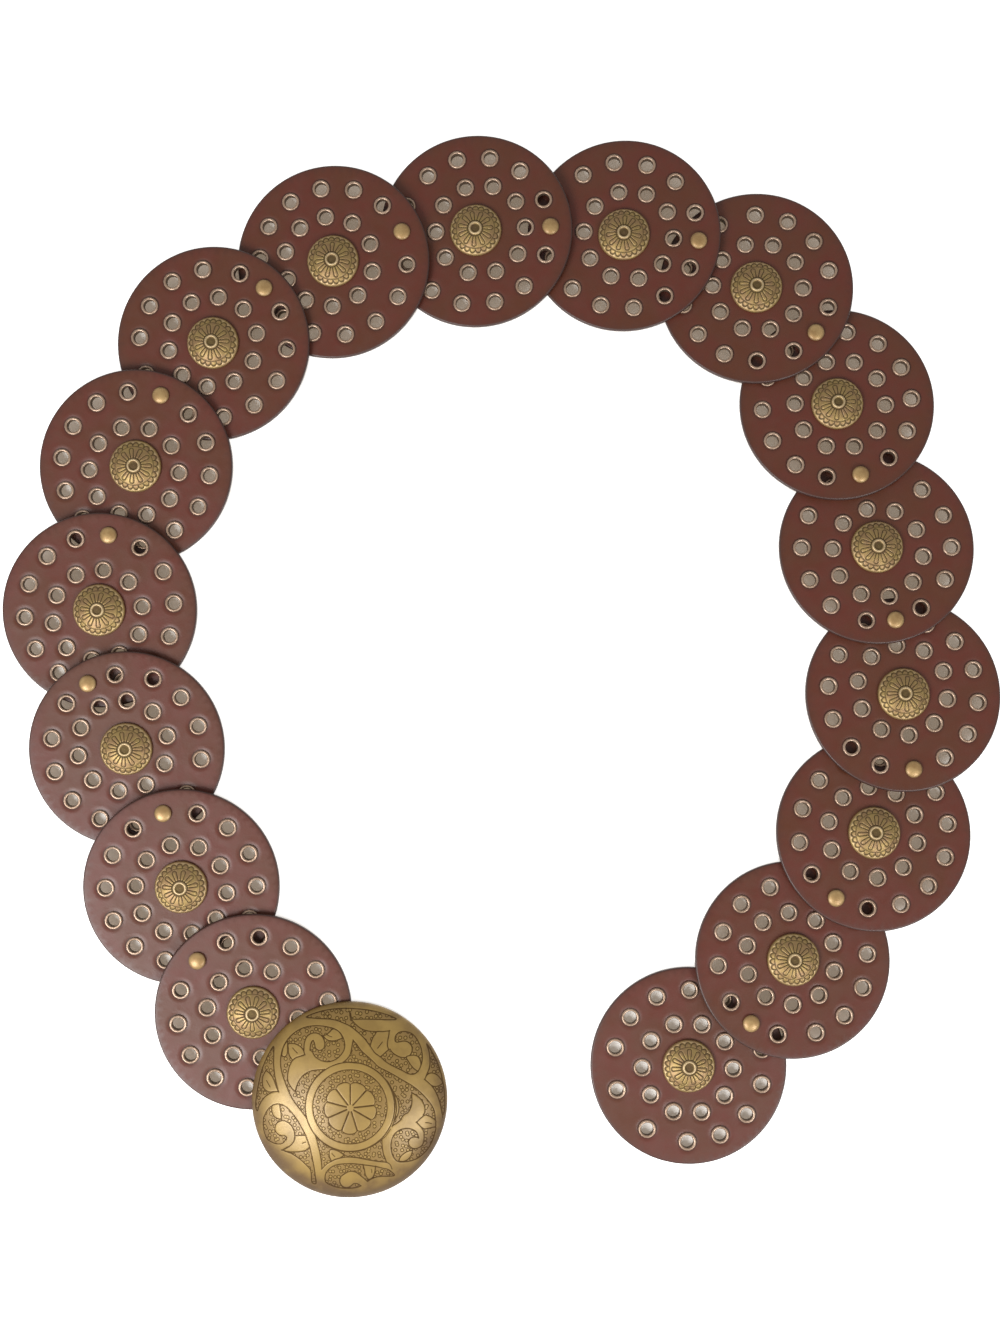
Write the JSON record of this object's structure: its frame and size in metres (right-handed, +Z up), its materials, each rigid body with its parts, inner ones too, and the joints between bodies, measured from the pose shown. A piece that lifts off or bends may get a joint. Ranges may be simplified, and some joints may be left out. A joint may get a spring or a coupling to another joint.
{
  "type": "concho belt",
  "caption": "Belt of overlapping punched leather discs riveted in a chain, a small brass concho on each, with a domed engraved round buckle.",
  "frame": {"origin": "middle of the belt's bounding box, on the surface that the belt lies on", "axes": "+Z up from the surface, out of the belt's outside face; +Y away from the gap between buckle and free end; +X from the buckle's half of the belt to the free end's half"},
  "size_m": [0.3904, 0.4156, 0.0163],
  "materials": {
    "leather": "smooth reddish brown leather with a soft sheen",
    "concho_brass": "antique brass, dark in the lines of its relief",
    "rivet_brass": "bright polished brass",
    "buckle_brass": "satin antique brass with dark engraved lines"
  },
  "bodies": {
    "root": {"disc_01": "leather", "disc_02": "leather", "disc_03": "leather", "disc_04": "leather", "disc_05": "leather", "disc_06": "leather", "disc_07": "leather", "disc_08": "leather", "disc_09": "leather", "disc_10": "leather", "disc_11": "leather", "disc_12": "leather", "disc_13": "leather", "disc_14": "leather", "disc_15": "leather", "disc_16": "leather", "concho_01": "concho_brass", "concho_02": "concho_brass", "concho_03": "concho_brass", "concho_04": "concho_brass", "concho_05": "concho_brass", "concho_06": "concho_brass", "concho_07": "concho_brass", "concho_08": "concho_brass", "concho_09": "concho_brass", "concho_10": "concho_brass", "concho_11": "concho_brass", "concho_12": "concho_brass", "concho_13": "concho_brass", "concho_14": "concho_brass", "concho_15": "concho_brass", "concho_16": "concho_brass", "rivet_01": "rivet_brass", "rivet_02": "rivet_brass", "rivet_03": "rivet_brass", "rivet_04": "rivet_brass", "rivet_05": "rivet_brass", "rivet_06": "rivet_brass", "rivet_07": "rivet_brass", "rivet_08": "rivet_brass", "rivet_09": "rivet_brass", "rivet_10": "rivet_brass", "rivet_11": "rivet_brass", "rivet_12": "rivet_brass", "rivet_13": "rivet_brass", "rivet_14": "rivet_brass", "rivet_15": "rivet_brass", "buckle": "buckle_brass", "buckle_clasp": "rivet_brass"}
  },
  "joints": []
}
